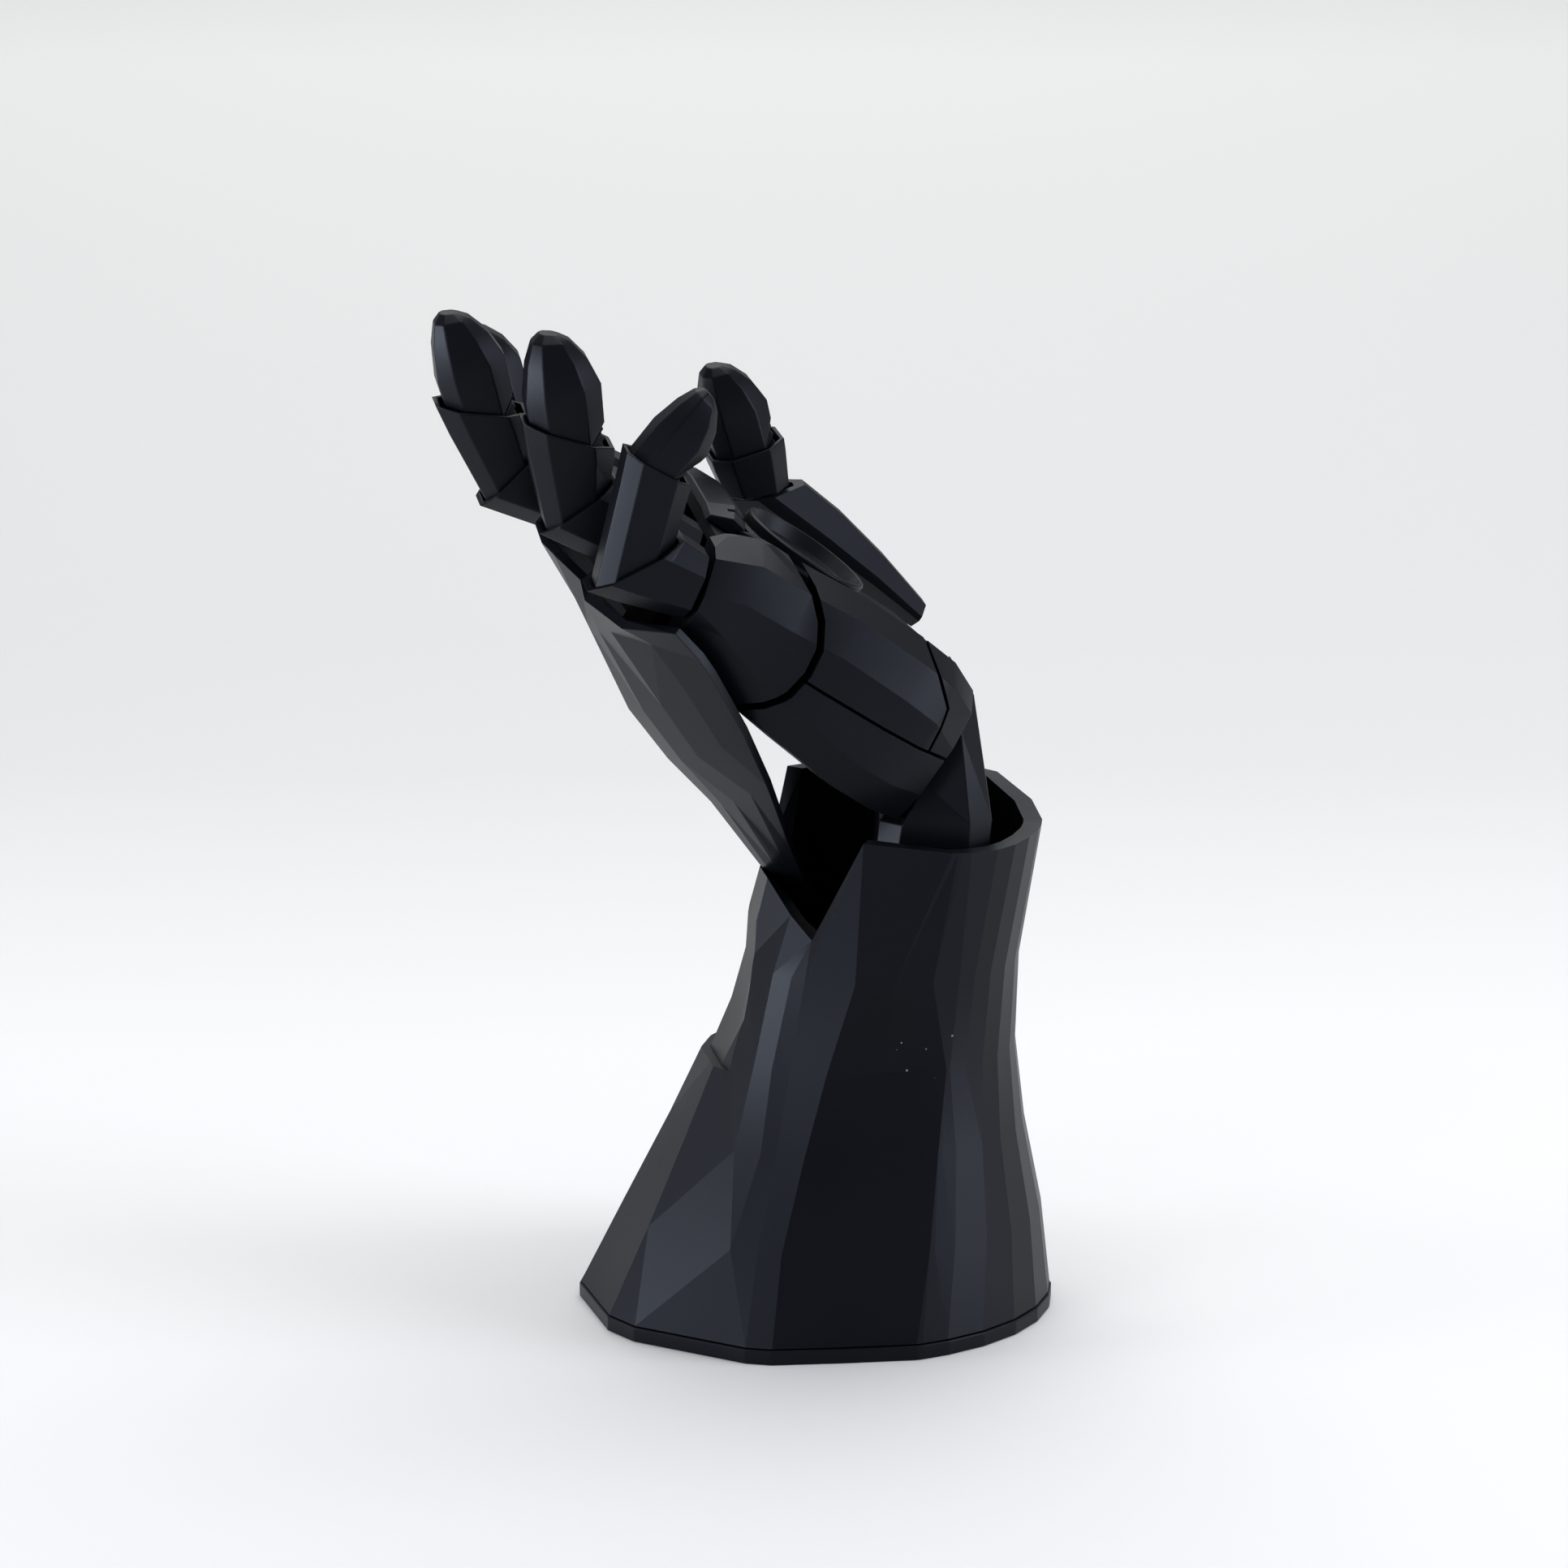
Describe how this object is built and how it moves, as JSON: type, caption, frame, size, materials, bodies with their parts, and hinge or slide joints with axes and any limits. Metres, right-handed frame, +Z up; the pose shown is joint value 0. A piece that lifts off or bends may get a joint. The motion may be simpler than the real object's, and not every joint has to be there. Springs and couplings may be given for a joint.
{
  "type": "armoured gauntlet",
  "caption": "Faceted plate glove for a right hand, open palm up, standing on its flared forearm cuff.",
  "frame": {"origin": "under the middle of the whole piece, on the surface that it stands on", "axes": "+Z up, -X the side that the fingers lean to, -Y the little-finger side"},
  "size_m": [0.165, 0.1238, 0.2749],
  "materials": {
    "armour_black": "satin black printed plastic with sharp facets",
    "core_black": "duller black plastic of the inner parts"
  },
  "bodies": {
    "root": {"base_ring": "armour_black", "cuff": "armour_black", "wrist_shelf": "core_black", "wrist_sleeve": "armour_black", "palm_body": "core_black", "palm_plate": "armour_black", "palm_front_pad": "armour_black", "outer_drum": "armour_black", "outer_upper": "armour_black", "heel_plate": "armour_black", "outer_lower": "armour_black", "back_shield": "armour_black", "knuckle_bridge": "core_black", "index_proximal": "armour_black", "index_middle": "armour_black", "index_joint": "core_black", "index_tip": "armour_black", "middle_proximal": "armour_black", "middle_middle": "armour_black", "middle_joint": "core_black", "middle_tip": "armour_black", "ring_proximal": "armour_black", "ring_middle": "armour_black", "ring_joint": "core_black", "ring_tip": "armour_black", "little_proximal": "armour_black", "little_middle": "armour_black", "little_joint": "core_black", "little_tip": "armour_black", "thumb_base": "armour_black", "thumb_collar": "armour_black", "thumb_joint": "core_black", "thumb_tip": "armour_black"}
  },
  "joints": []
}
